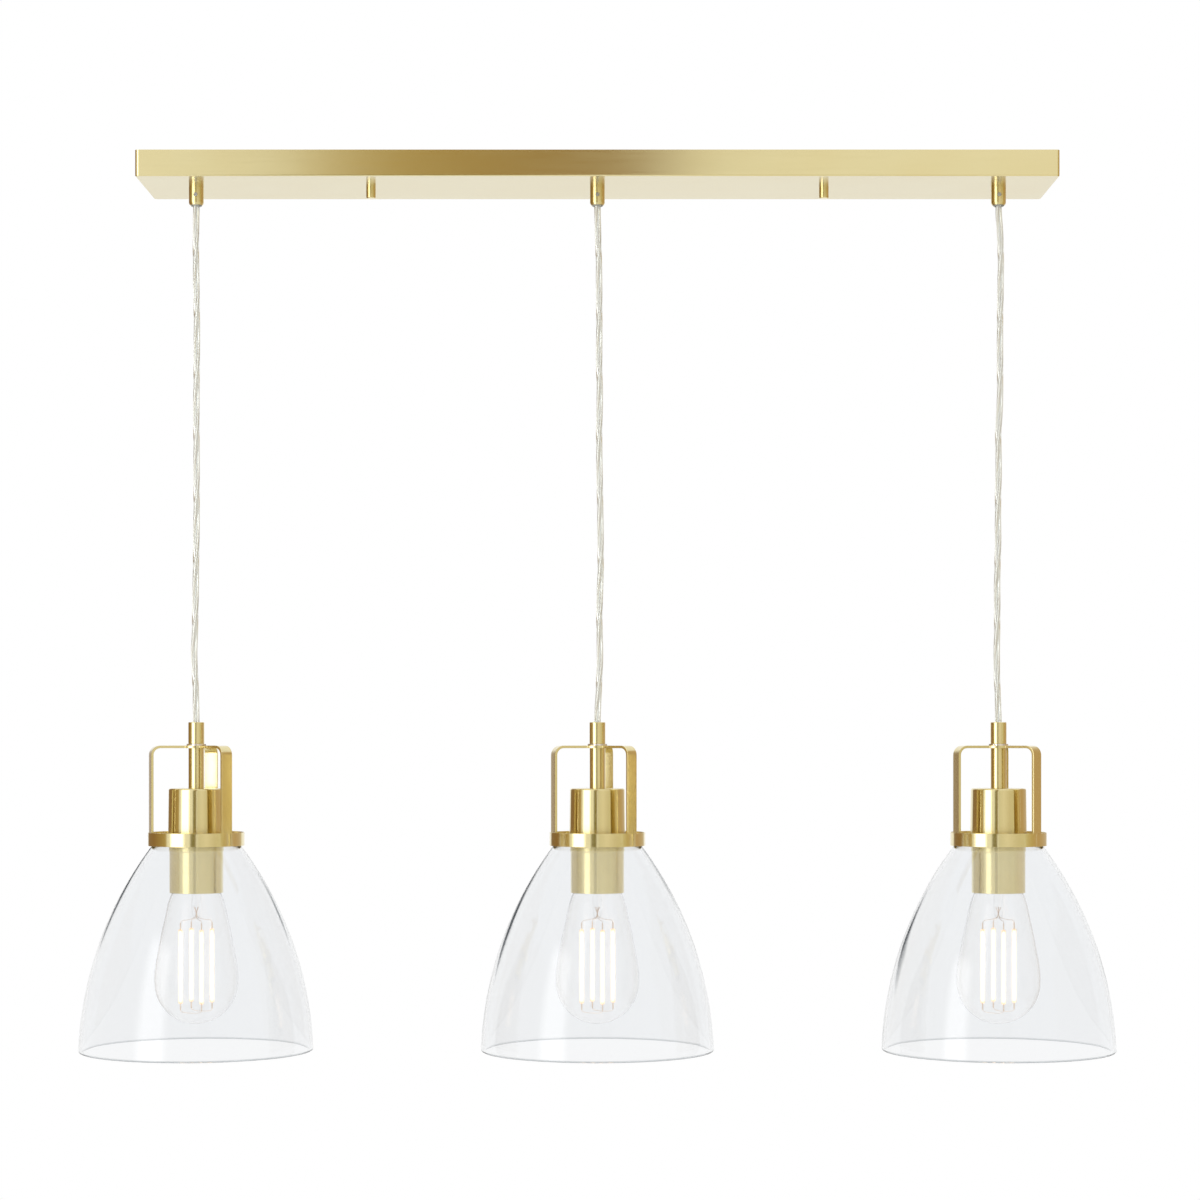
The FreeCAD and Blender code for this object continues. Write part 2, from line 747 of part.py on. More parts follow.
def filaments():
    """Glass stem with its flare, and the wires, tabs and filaments that it carries."""
    inner_neck = bulb_neck_radius - bulb_glass_wall
    flare_top = screw_cap_bottom + bulb_neck_overlap / 2
    flare_bottom = flare_top - glass_flare_thickness
    stem_end = flare_top - glass_stem_length
    stem_radius = glass_stem_diameter / 2
    glass_stem = turned((0, flare_top), (inner_neck, flare_top), (inner_neck, flare_bottom),
                        (stem_radius + glass_flare_width, flare_bottom),
                        (stem_radius, flare_bottom - glass_flare_height),
                        (stem_radius, stem_end + glass_stem_point), (stem_radius / 2, stem_end),
                        (0, stem_end))
    foot_share = support_wire_foot_circle / filament_circle
    foot_level = stem_end + support_wire_foot_depth
    top = bulb_top - filament_top_depth
    bottom = top - filament_length
    solids = [glass_stem]
    places = []
    for number in range(filament_count):
        angle = math.radians(filament_first_angle + number * 360 / filament_count)
        x = filament_circle / 2 * math.cos(angle)
        y = filament_circle / 2 * math.sin(angle)
        places.append((x, y))
        solids.append(rod(filament_diameter, bottom, top, x, y))
        solids.append(rod(tab_diameter, top, top + tab_length, x, y))
        solids.append(rod(tab_diameter, bottom - tab_length, bottom, x, y))
        tab_end = top + tab_length
        route = [V(x, y, tab_end), V(x, y, tab_end + support_wire_rise),
                 V(x * foot_share, y * foot_share, foot_level)]
        support, path_length = tube_on_route(route, support_wire_diameter, support_wire_bend)
        solids.append(support.cut(glass_stem).Solids[0])
    foot = bottom - tab_length
    for first, second in ((places[0], places[1]), (places[2], places[3])):
        route = [V(first[0], first[1], foot), V(first[0], first[1], foot - support_wire_rise),
                 V(second[0], second[1], foot - support_wire_rise), V(second[0], second[1], foot)]
        link, path_length = tube_on_route(route, support_wire_diameter, support_wire_bend)
        solids.append(link)
    return Part.makeCompound(solids)


# ---- Files ----

lamp_pieces = {
    "cord_bushing": cord_bushing, "cord": cord, "collar": collar, "lock_washer": lock_washer, "yoke": yoke,
    "stem": stem, "upper_cup": upper_cup, "ring_cap": ring_cap, "glass_shade": glass_shade,
    "lower_cup": lower_cup, "lampholder": lampholder, "holder_contacts": holder_contacts,
    "bulb_contact": bulb_contact, "bulb_cap": bulb_cap, "bulb_glass": bulb_glass, "filaments": filaments,
    "cord_grip": cord_grip,
}
ceiling_pieces = {
    "canopy_pan": canopy_pan, "ceiling_bracket": ceiling_bracket, "bracket_studs": bracket_studs,
    "stud_nuts": stud_nuts, "cap_nuts": cap_nuts, "grip_nuts": grip_nuts,
    "grip_set_screws": grip_set_screws, "inner_leads": inner_leads, "terminal_block": terminal_block,
}


def save(name, shape):
    if not shape.isValid():
        print("not valid:", name)
    shape.exportStep(os.path.join("parts", name + ".step"))
    box = shape.BoundBox
    print("%-24s %2d solids %9.1f mm3  z %.1f to %.1f"
          % (name, len(shape.Solids), shape.Volume, box.ZMin, box.ZMax))


os.makedirs("parts", exist_ok=True)
for name, make in ceiling_pieces.items():
    save(name, make())
for name, make in lamp_pieces.items():
    piece = make()
    for side, place in side_places.items():
        save(name + "_" + side, moved(piece, place * lamp_pitch))
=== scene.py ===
import math

import bmesh
import bpy
from mathutils import Matrix, Vector


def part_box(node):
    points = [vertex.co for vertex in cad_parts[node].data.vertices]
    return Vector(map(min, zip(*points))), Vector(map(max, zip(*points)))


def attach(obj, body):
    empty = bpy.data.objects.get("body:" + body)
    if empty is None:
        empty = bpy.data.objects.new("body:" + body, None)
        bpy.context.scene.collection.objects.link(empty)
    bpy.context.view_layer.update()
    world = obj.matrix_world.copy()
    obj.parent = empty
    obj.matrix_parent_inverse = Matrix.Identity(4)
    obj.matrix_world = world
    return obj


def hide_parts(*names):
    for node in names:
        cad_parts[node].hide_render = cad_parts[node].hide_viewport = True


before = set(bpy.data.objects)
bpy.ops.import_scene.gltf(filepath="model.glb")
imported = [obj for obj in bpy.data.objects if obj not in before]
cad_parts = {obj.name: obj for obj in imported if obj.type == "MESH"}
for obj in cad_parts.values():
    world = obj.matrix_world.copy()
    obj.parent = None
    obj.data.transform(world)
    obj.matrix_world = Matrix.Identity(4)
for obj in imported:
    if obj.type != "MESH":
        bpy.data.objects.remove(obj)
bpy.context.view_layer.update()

mm = 0.001
sides = ("left", "centre", "right")
lampX = {side: sum(corner.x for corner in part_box("stem_" + side)) / 2 for side in sides}
print("frame loaded, lamps at", lampX)


# small helpers

def linear(hexColour):
    channels = [int(hexColour[start:start + 2], 16) / 255 for start in (1, 3, 5)]
    return [c / 12.92 if c <= 0.04045 else ((c + 0.055) / 1.055) ** 2.4 for c in channels] + [1.0]


def addNode(tree, kind, inputs=None, **settings):
    node = tree.nodes.new("ShaderNode" + kind)
    for name, value in settings.items():
        setattr(node, name, value)
    for socket, value in (inputs or {}).items():
        if isinstance(value, bpy.types.NodeSocket):
            tree.links.new(value, node.inputs[socket])
        else:
            node.inputs[socket].default_value = value
    return node


def newMaterial(name, inputs):
    material = bpy.data.materials.new(name)
    material.use_nodes = True
    tree = material.node_tree
    shader = tree.nodes["Principled BSDF"]
    for socket, value in inputs.items():
        shader.inputs[socket].default_value = value
    return material, tree, shader


def level(node, top=True):
    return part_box(node + "_centre")[1 if top else 0].z / mm


def radiusOf(node):
    low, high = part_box(node + "_centre")
    return (high.x - low.x) / 2 / mm


meshLook = {"arcFacets": 2.2, "fewestFacets": 4,  # for each radian and each root of a radius in mm
            "weld": 0.002, "touch": 0.01, "creaseAngle": 38}


def drawOutline(start, *moves):  # a pen in the XZ plane: (x, z) is a line, (x, z, centre x, centre z) an arc
    bm = bmesh.new()
    tip = bmesh.ops.create_vert(bm, co=(start[0], 0, start[1]))["vert"][0]
    for move in moves:
        if len(move) == 2:
            tip = bmesh.ops.extrude_vert_indiv(bm, verts=[tip])["verts"][0]
        else:
            centre = Vector((move[2], 0, move[3]))
            here, there = tip.co - centre, Vector((move[0], 0, move[1])) - centre
            turn = math.atan2(there.z, there.x) - math.atan2(here.z, here.x)
            turn = (turn + math.pi) % (2 * math.pi) - math.pi
            steps = round(abs(turn) * math.sqrt(here.length) * meshLook["arcFacets"])
            made = bmesh.ops.spin(bm, geom=[tip], cent=centre, axis=(0, -1, 0), angle=turn,
                                  steps=max(meshLook["fewestFacets"], steps))
            tip = next(part for part in made["geom_last"] if isinstance(part, bmesh.types.BMVert))
        tip.co = (move[0], 0, move[1])
    return bm


def smoothOutline(knots, resolution=10):  # the same, on one soft curve through its knots
    curve = bpy.data.curves.new("profile", "CURVE")
    curve.dimensions = "3D"
    curve.resolution_u = resolution
    spline = curve.splines.new("BEZIER")
    spline.bezier_points.add(len(knots) - 1)
    for knot, (x, z) in zip(spline.bezier_points, knots):
        knot.co = (x, 0, z)
        knot.handle_left_type = knot.handle_right_type = "AUTO"
    holder = bpy.data.objects.new("profile", curve)
    line = bpy.data.meshes.new_from_object(holder)
    bm = bmesh.new()
    bm.from_mesh(line)
    bpy.data.objects.remove(holder)
    return bm


def turnOutline(bm, steps=112):
    bmesh.ops.spin(bm, geom=bm.verts[:] + bm.edges[:], cent=(0, 0, 0), axis=(0, 0, 1),
                   angle=2 * math.pi, steps=steps, use_merge=True)
    bmesh.ops.remove_doubles(bm, verts=bm.verts, dist=meshLook["weld"])
    bmesh.ops.recalc_face_normals(bm, faces=bm.faces)
    return bm


def bevelEdges(bm, edges, width, segments):
    bmesh.ops.bevel(bm, geom=edges, offset=width, offset_type="OFFSET", segments=segments, profile=0.5,
                    affect="EDGES", material=-1, clamp_overlap=True)
    return bm


def easeEdges(bm, width, segments=2, sharper=35):
    edges = [e for e in bm.edges if len(e.link_faces) == 2 and e.calc_face_angle() > math.radians(sharper)]
    return bevelEdges(bm, edges, width, segments)


def easeRing(bm, radius, height, width, segments=6):
    def onRing(vert):
        touch = meshLook["touch"]
        return abs(vert.co.z - height) < touch and abs(vert.co.xy.length - radius) < touch
    edges = [e for e in bm.edges if all(onRing(v) for v in e.verts)]
    return bevelEdges(bm, edges, width, segments)


def toMesh(name, bm, material):
    bmesh.ops.scale(bm, vec=(mm, mm, mm), verts=bm.verts)
    mesh = bpy.data.meshes.new(name)
    bm.to_mesh(mesh)
    bm.free()
    mesh.shade_smooth()
    mesh.set_sharp_from_angle(angle=math.radians(meshLook["creaseAngle"]))
    mesh.materials.append(material)
    return mesh


def place(name, data, body, replaced=()):
    piece = bpy.data.objects.new(name, data)
    bpy.context.scene.collection.objects.link(piece)
    if piece.type == "MESH":  # large faces keep their own shading beside their rounded edges
        piece.modifiers.new("weightedNormals", "WEIGHTED_NORMAL").keep_sharp = True
    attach(piece, body)
    if replaced:
        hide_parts(*replaced)
    return piece


def onEachLamp(material):
    return {side: material for side in sides}


def placeOnLamps(name, bm, materials, bodyKind, node=None, turns=None):
    first = toMesh(name, bm, materials["centre"])
    for side in sides:
        mesh = first.copy()
        turn = math.radians(turns[side]) if turns else 0
        mesh.transform(Matrix.Translation((lampX[side], 0, 0)) @ Matrix.Rotation(turn, 4, "Z"))
        mesh.materials[0] = materials[side]
        place(name + side.capitalize(), mesh, bodyKind + "_" + side,
              [(node or name) + "_" + side])
    bpy.data.meshes.remove(first)


def dress(node, material):  # the node keeps its mesh and takes this finish
    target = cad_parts[node]
    if not target.material_slots:
        target.data.materials.append(material)
    for materialSlot in target.material_slots:
        materialSlot.link = "OBJECT"
        materialSlot.material = material


# materials

brassLook = {
    "colour": "#E8DCA9", "tarnish": "#E3D298", "cloudSize": 60.0,
    "roughLow": 0.19, "roughHigh": 0.24, "noiseLow": 0.3, "noiseHigh": 0.7, "stretch": 0.95,
    "lacquer": 0.7, "lacquerRoughness": 0.14,
    "lineSpacing": 0.7,  # mm; the real brushing is finer, and is drawn this coarse so that it shows
    "lineLength": 40.0, "lineHeight": 0.05, "lineStrength": 0.012,
    "endGrain": 0.05,  # a little slant, so that end faces have a grain too
}


def makeBrass(name, grain, centreX=0.0):
    # Satin brass: brushed plate under a clear lacquer, so highlights smear across the brushing
    material, tree, shader = newMaterial(name, {
        "Metallic": 1.0, "Coat Weight": brassLook["lacquer"],
        "Coat Roughness": brassLook["lacquerRoughness"],
        "Anisotropic": brassLook["stretch"] if grain != "plain" else 0.0})
    coords = addNode(tree, "TexCoord").outputs["Object"]
    centred = addNode(tree, "Mapping", {"Vector": coords, "Location": (-centreX, 0, 0)}).outputs[0]
    acrossScale = 1 / (brassLook["lineSpacing"] * mm)
    alongScale = 1 / (brassLook["lineLength"] * mm)
    parts = addNode(tree, "SeparateXYZ", {0: centred})
    if grain == "turned":
        backward = addNode(tree, "Math", {0: parts.outputs["Y"], 1: -1.0}, operation="MULTIPLY").outputs[0]
        along = addNode(tree, "CombineXYZ", {"X": backward, "Y": parts.outputs["X"]}).outputs[0]
        flat = addNode(tree, "CombineXYZ", {"X": parts.outputs["X"], "Y": parts.outputs["Y"]}).outputs[0]
        radius = addNode(tree, "VectorMath", {0: flat}, operation="LENGTH").outputs["Value"]
        run = addNode(tree, "Math", {0: radius, 1: parts.outputs["Z"]}, operation="ADD").outputs[0]
        lines = addNode(tree, "CombineXYZ", {"X": parts.outputs["X"], "Y": parts.outputs["Y"], "Z": run})
        scale = (alongScale, alongScale, acrossScale)
        lines = addNode(tree, "Mapping", {"Vector": lines.outputs[0], "Scale": scale}).outputs[0]
    else:
        along = addNode(tree, "CombineXYZ", {"X": 1.0, "Y": brassLook["endGrain"]}).outputs[0]
        scale = (alongScale, acrossScale, acrossScale)
        lines = addNode(tree, "Mapping", {"Vector": centred, "Scale": scale}).outputs[0]
    noise = addNode(tree, "TexNoise", {"Vector": lines, "Scale": 1.0, "Detail": 3.0, "Roughness": 0.6})
    clouds = addNode(tree, "TexNoise", {"Vector": coords, "Detail": 2.0,
                                      "Scale": 1 / (brassLook["cloudSize"] * mm)})
    rough = addNode(tree, "MapRange", {
        "Value": noise.outputs[0], "From Min": brassLook["noiseLow"], "From Max": brassLook["noiseHigh"],
        "To Min": brassLook["roughLow"], "To Max": brassLook["roughHigh"]})
    tree.links.new(rough.outputs[0], shader.inputs["Roughness"])
    tone = addNode(tree, "Mix", {"Factor": clouds.outputs[0], 6: linear(brassLook["colour"]),
                                 7: linear(brassLook["tarnish"])}, data_type="RGBA")
    tree.links.new(tone.outputs[2], shader.inputs["Base Color"])
    if grain != "plain":
        normal = addNode(tree, "NewGeometry").outputs["Normal"]
        across = addNode(tree, "VectorMath", {0: normal, 1: along}, operation="CROSS_PRODUCT")
        tree.links.new(across.outputs[0], shader.inputs["Tangent"])
    bump = addNode(tree, "Bump", {"Strength": brassLook["lineStrength"],
                                  "Distance": brassLook["lineHeight"] * mm, "Height": noise.outputs[0]})
    tree.links.new(bump.outputs[0], shader.inputs["Normal"])
    return material


shadeGlassLook = {"colour": "#F6F7F8", "bend": 1.5, "waveHeight": 0.12, "waveWidth": 60.0,
                  "lipPaintedShade": "#B9BEC1", "lipRise": 2.2}  # the lip's darker grey tint is painted shade, for the dark line that refraction draws along the rim
bulbGlassLook = {"colour": "#FFFFFF", "waveHeight": 0.03, "waveWidth": 40.0,
                 "bend": 1.3}  # below that of solid glass, because so thin a wall hardly bends light


def makeGlass(name, look):
    # Clear blown glass: polished by the flame, with slow waves left by the blowing
    material, tree, shader = newMaterial(name, {
        "Base Color": linear(look["colour"]), "Roughness": 0.0, "IOR": look["bend"],
        "Transmission Weight": 1.0})
    coords = addNode(tree, "TexCoord").outputs["Object"]
    waves = addNode(tree, "TexNoise", {"Vector": coords, "Detail": 1.0,
                                       "Scale": 1 / (look["waveWidth"] * mm)})
    bump = addNode(tree, "Bump", {"Strength": 1.0, "Distance": look["waveHeight"] * mm,
                                  "Height": waves.outputs[0]})
    tree.links.new(bump.outputs[0], shader.inputs["Normal"])
    # painted shade: the lowest lipRise mm of the shade turn darker grey, standing in for the dark rim line
    if "lipPaintedShade" in look:
        rim = level("glass_shade", False)
        height = addNode(tree, "SeparateXYZ", {0: coords}).outputs["Z"]
        share = addNode(tree, "MapRange", {"Value": height, "From Min": (rim + look["lipRise"]) * mm,
                                           "From Max": rim * mm}, interpolation_type="SMOOTHSTEP")
        tone = addNode(tree, "Mix", {"Factor": share.outputs[0], 6: linear(look["colour"]),
                                     7: linear(look["lipPaintedShade"])}, data_type="RGBA")
        tree.links.new(tone.outputs[2], shader.inputs["Base Color"])
    return material


brassTurned = {side: makeBrass("satinBrassTurned" + side.capitalize(), "turned", lampX[side])
               for side in sides}
brassLong = makeBrass("satinBrassBrushedAlong", "long")
brassPlain = makeBrass("satinBrassPlain", "plain")
shadeGlass = makeGlass("clearBlownGlass", shadeGlassLook)
bulbGlass = makeGlass("clearThinBulbGlass", bulbGlassLook)

zincSteel = newMaterial("zincPlatedSteel", {  # pressed steel with a bright, faintly bluish zinc coat
    "Base Color": linear("#C4C6C8"), "Metallic": 1.0, "Roughness": 0.38})[0]
tinnedCopper = newMaterial("tinnedCopperStrand", {  # fine drawn wires under tin, silvery and soft; their faint cool glow is painted light that brightens the strands
    "Base Color": linear("#F8F9F7"), "Metallic": 1.0, "Roughness": 0.45,
    "Emission Color": linear("#EEF2FA"), "Emission Strength": 0.12})[0]
nickelWire = newMaterial("nickelPlatedWire", {  # drawn wire and stamped tabs; their warm glow is painted light, for the light of the strips beside them
    "Base Color": linear("#DDD3C9"), "Metallic": 1.0, "Roughness": 0.5,
    "Emission Color": linear("#C6B3A4"), "Emission Strength": 0.6})[0]
springSteel = newMaterial("nickelPlatedSpringSteel", {  # toothed washer, bright from its plating
    "Base Color": linear("#F3ECE9"), "Metallic": 1.0, "Roughness": 0.25})[0]
clearPvc = newMaterial("clearExtrudedPvc", {  # extruded jacket, glossy, hardly any tint
    "Base Color": linear("#F6F7F2"), "Roughness": 0.06, "IOR": 1.53, "Transmission Weight": 1.0})[0]
clearNylon = newMaterial("naturalMouldedNylon", {  # moulded, milky and a little rough
    "Base Color": linear("#F2F1E6"), "Roughness": 0.25, "IOR": 1.53, "Transmission Weight": 0.7})[0]
whitePlastic = newMaterial("whiteMouldedPolyamide", {  # moulded, matt and a little off white
    "Base Color": linear("#E9E9E4"), "Roughness": 0.5, "IOR": 1.53})[0]
greyPvc = newMaterial("greyExtrudedPvc", {  # the leads' jackets inside the canopy
    "Base Color": linear("#CFCFC8"), "Roughness": 0.4, "IOR": 1.53})[0]
phenolic = newMaterial("blackMouldedPhenolic", {  # pressed in a hot mould, black with a low gloss
    "Base Color": linear("#1E1D1C"), "Roughness": 0.35, "IOR": 1.6})[0]
contactBrass = newMaterial("stampedBrassSheet", {  # bare rolled sheet, yellower than the satin finish
    "Base Color": linear("#D9B878"), "Metallic": 1.0, "Roughness": 0.3})[0]
nickelCap = newMaterial("nickelPlatedBrassShell", {  # drawn shell with a rolled thread
    "Base Color": linear("#CFCDC8"), "Metallic": 1.0, "Roughness": 0.22})[0]
litChips = newMaterial("litChipString", {  # the string of lit chips, too bright to show any colour
    "Base Color": linear("#FFF9EC"), "Roughness": 0.5, "Emission Color": linear("#FFFBEA"),
    "Emission Strength": 1.6})[0]
litChips.cycles.emission_sampling = "NONE"
print("materials made")


# turned brass

collarLook = {"topWall": 3.4, "edge": 0.5, "bore": 2.58, "threadRadius": 5.0, "facets": 72}


def makeCollar():
    top, bottom, radius = level("collar"), level("collar", False), radiusOf("collar")
    thread, bore = collarLook["threadRadius"], collarLook["bore"]
    bm = drawOutline((bore, top), (radius, top), (radius, bottom), (thread, bottom),
                     (thread, top - collarLook["topWall"]), (bore, top - collarLook["topWall"]), (bore, top))
    return easeEdges(turnOutline(bm, collarLook["facets"]), collarLook["edge"], segments=4)


yokeSheet = 2.0  # mm; the stem's shoulder stands under the yoke's sheet
stemLook = {"bore": 3.0, "spigotRadius": 4.9, "edge": 0.12, "facets": 72}


def makeStem():
    top, bottom = level("stem"), level("stem", False)
    bodyTop, bodyBottom = level("yoke") - yokeSheet, level("upper_cup")
    bore, spigot, radius = stemLook["bore"], stemLook["spigotRadius"], radiusOf("stem")
    bm = drawOutline((bore, top), (spigot, top), (spigot, bodyTop), (radius, bodyTop), (radius, bodyBottom),
                     (spigot, bodyBottom), (spigot, bottom), (bore, bottom), (bore, top))
    return easeEdges(turnOutline(bm, stemLook["facets"]), stemLook["edge"])


upperCupLook = {"topRadius": 21.3, "wall": 0.8, "shoulder": 1.5, "hole": 5.0, "edge": 0.15}


def makeUpperCup():
    top, bottom, radius = level("upper_cup"), level("upper_cup", False), radiusOf("upper_cup")
    wall, hole, narrow = upperCupLook["wall"], upperCupLook["hole"], upperCupLook["topRadius"]
    bm = drawOutline((hole, top), (narrow, top), (radius, bottom), (radius - wall, bottom),
                     (narrow - wall, top - wall), (hole, top - wall), (hole, top))
    turnOutline(bm)
    easeRing(bm, narrow, top, upperCupLook["shoulder"])
    return easeEdges(bm, upperCupLook["edge"], sharper=50)


ringLook = {"wall": 0.7, "hole": 19.3, "edge": 0.2, "facets": 128}


def makeRingCap():
    top, bottom, radius = level("ring_cap"), level("ring_cap", False), radiusOf("ring_cap")
    plateTop, plateBottom = level("upper_cup", False), level("glass_shade")
    inner = radius - ringLook["wall"]
    bm = drawOutline((inner, top), (radius, top), (radius, bottom), (inner, bottom), (inner, plateBottom),
                     (ringLook["hole"], plateBottom), (ringLook["hole"], plateTop), (inner, plateTop),
                     (inner, top))
    return easeEdges(turnOutline(bm, ringLook["facets"]), ringLook["edge"])


lowerCupLook = {"sleeveRadius": 20.7, "wall": 0.6, "step": 0.4, "stepDepth": 8.7, "flange": 1.4,
                "threadRadius": 19.3, "recess": 8.7, "edge": 0.15}


def makeLowerCup():
    top, bottom, radius = level("lower_cup"), level("lower_cup", False), radiusOf("lower_cup")
    sleeve, wall, thread = lowerCupLook["sleeveRadius"], lowerCupLook["wall"], lowerCupLook["threadRadius"]
    raised = sleeve + lowerCupLook["step"]
    stepEnd = top - lowerCupLook["stepDepth"]
    bm = drawOutline((thread, top), (radius, top), (radius, top - lowerCupLook["flange"]),
                     (raised, top - lowerCupLook["flange"]), (raised, stepEnd),
                     (sleeve, stepEnd - lowerCupLook["step"]), (sleeve, bottom), (sleeve - wall, bottom),
                     (sleeve - wall, bottom + lowerCupLook["recess"]),
                     (thread, bottom + lowerCupLook["recess"]), (thread, top))
    return easeEdges(turnOutline(bm), lowerCupLook["edge"])


placeOnLamps("collar", makeCollar(), brassTurned, "lamp")
placeOnLamps("stem", makeStem(), brassTurned, "lamp")
placeOnLamps("upperCup", makeUpperCup(), brassTurned, "lamp", "upper_cup")
placeOnLamps("ringCap", makeRingCap(), brassTurned, "lamp", "ring_cap")
placeOnLamps("lowerCup", makeLowerCup(), brassTurned, "lamp", "lower_cup")
print("turned brass pieces made")


# yokes

yokeLook = {"hubRadius": 11.2, "armWidth": 10.3, "bend": 7.3, "bandGap": 0.05, "firstAngle": 78.0,
            "arms": 3, "edge": 0.25, "hubFacets": 14, "bendFacets": 8}


def makeYoke():
    top, foot = level("yoke"), level("yoke", False)
    hub, half, bend = yokeLook["hubRadius"], yokeLook["armWidth"] / 2, yokeLook["bend"]
    band = radiusOf("ring_cap") - ringLook["wall"]
    reach = math.sqrt(band ** 2 - half ** 2) - yokeLook["bandGap"] - bend
    spread = math.asin(half / hub)
    pitch = 2 * math.pi / yokeLook["arms"]
    first = math.radians(yokeLook["firstAngle"])
    bm = bmesh.new()
    tip = bmesh.ops.create_vert(bm, co=(hub * math.cos(first - spread), hub * math.sin(first - spread), top))
    tip = tip["vert"][0]
    armEnds = []
    for arm in range(yokeLook["arms"]):
        turn = Matrix.Rotation(first + arm * pitch, 3, "Z")
        corners = []
        for x, y in ((reach, -half), (reach, half), (math.sqrt(hub ** 2 - half ** 2), half)):
            tip = bmesh.ops.extrude_vert_indiv(bm, verts=[tip])["verts"][0]
            tip.co = turn @ Vector((x, y, top))
            corners.append(tip)
        armEnds.append((turn, bm.edges.get(corners[:2])))
        made = bmesh.ops.spin(bm, geom=[tip], cent=(0, 0, top), axis=(0, 0, 1), angle=pitch - 2 * spread,
                              steps=yokeLook["hubFacets"])
        tip = next(part for part in made["geom_last"] if isinstance(part, bmesh.types.BMVert))
    bmesh.ops.remove_doubles(bm, verts=bm.verts, dist=meshLook["touch"])
    bmesh.ops.contextual_create(bm, geom=bm.edges[:])
    for turn, end in armEnds:
        made = bmesh.ops.spin(bm, geom=[end, *end.verts], cent=turn @ Vector((reach, 0, top - bend)),
                              axis=turn @ Vector((0, 1, 0)), angle=math.pi / 2,
                              steps=yokeLook["bendFacets"])
        last = [part for part in made["geom_last"] if isinstance(part, bmesh.types.BMEdge)]
        made = bmesh.ops.extrude_edge_only(bm, edges=last)
        low = [part for part in made["geom"] if isinstance(part, bmesh.types.BMVert)]
        bmesh.ops.translate(bm, verts=low, vec=(0, 0, foot - top + bend))
    bmesh.ops.recalc_face_normals(bm, faces=bm.faces)
    if max(bm.faces, key=lambda face: len(face.verts)).normal.z < 0:  # the hub with its arms, from above
        bmesh.ops.reverse_faces(bm, faces=bm.faces)
    bmesh.ops.solidify(bm, geom=bm.faces[:], thickness=yokeSheet)
    return easeEdges(bm, yokeLook["edge"], sharper=60)


placeOnLamps("yoke", makeYoke(), onEachLamp(brassPlain), "lamp")
print("yokes made")


# glass shades

shadeLook = {"wall": 2.5, "topRadius": 29.1, "bulge": 14.0, "hole": 20.5, "shoulder": 3.2,
             "innerShoulder": 1.0, "edge": 0.3, "facets": 144}


def makeShade():
    top, rim, radius = level("glass_shade"), level("glass_shade", False), radiusOf("glass_shade")
    wall, hole, narrow = shadeLook["wall"], shadeLook["hole"], shadeLook["topRadius"]
    lip = rim + wall / 2
    across, down = radius - narrow, lip - top
    chord = math.hypot(across, down)
    curve = (chord ** 2 / 4 + shadeLook["bulge"] ** 2) / (2 * shadeLook["bulge"])
    reach = curve - shadeLook["bulge"]
    centreX = (narrow + radius) / 2 + down / chord * reach
    centreZ = (top + lip) / 2 - across / chord * reach

    def onCurve(size, height):
        return centreX + math.sqrt(size ** 2 - (height - centreZ) ** 2), height

    outerRim, innerRim = onCurve(curve, lip), onCurve(curve - wall, lip)
    middle = (outerRim[0] + innerRim[0]) / 2
    bm = drawOutline((hole, top), (narrow, top), (*outerRim, centreX, centreZ),
                     (middle, rim, middle, lip), (*innerRim, middle, lip),
                     (*onCurve(curve - wall, top - wall), centreX, centreZ),
                     (hole, top - wall), (hole, top))
    turnOutline(bm, shadeLook["facets"])
    easeRing(bm, narrow, top, shadeLook["shoulder"])
    inside = onCurve(curve - wall, top - wall)
    easeRing(bm, *inside, shadeLook["innerShoulder"], segments=4)
    return easeEdges(bm, shadeLook["edge"], sharper=60)


placeOnLamps("glassShade", makeShade(), onEachLamp(shadeGlass), "lamp", "glass_shade")
print("glass shades made")


# bulbs

bulbLook = {"wall": 0.8,  # knots: radius, depth below the glass's top
            "knots": [(11.8, 0.2), (11.8, 3.0), (14.2, 8.6), (19.0, 15.8), (24.9, 37.4), (29.6, 60.7),
                      (31.6, 72.4), (32.25, 84.2), (30.4, 95.2), (24.8, 104.9), (16.2, 112.1), (8.0, 115.5),
                      (0.0, 116.5)]}


def makeBulbGlass():
    top = level("bulb_glass")
    bm = turnOutline(smoothOutline([(radius, top - depth) for radius, depth in bulbLook["knots"]]))
    lowest = min(bm.verts, key=lambda vert: vert.co.z)
    if lowest.normal.z > 0:
        bmesh.ops.reverse_faces(bm, faces=bm.faces)
    bmesh.ops.solidify(bm, geom=bm.faces[:], thickness=bulbLook["wall"])
    return bm


glassStemLook = {"facets": 40, "fineness": 8,  # knots: radius, depth below the flare's top
                 "knots": [(0, 0), (10.9, 0.6), (5.5, 3.0), (3.5, 7.0), (3.5, 14.0), (3.325, 29.0),
                           (1.75, 33.5), (0, 34.0)]}


def makeGlassStem():
    top = level("filaments")
    knots = [(radius, top - depth) for radius, depth in glassStemLook["knots"]]
    return turnOutline(smoothOutline(knots, glassStemLook["fineness"]), glassStemLook["facets"])


filamentLook = {"count": 4, "circle": 12.7, "drop": 42.0, "length": 57.0, "coreRadius": 0.85,
                "coreInset": 1.5, "coreEdge": 0.2, "coatRadius": 1.7, "coatEdge": 0.8, "firstAngle": 18.0,
                "turns": {"left": 7.6, "centre": 0.0, "right": -7.6}}  # where each bulb's thread is tight
stripTop = level("filaments") - filamentLook["drop"]
stripFoot = stripTop - filamentLook["length"]


def filamentPlaces():
    for number in range(filamentLook["count"]):
        angle = math.radians(filamentLook["firstAngle"] + 360 / filamentLook["count"] * number)
        yield math.cos(angle), math.sin(angle)


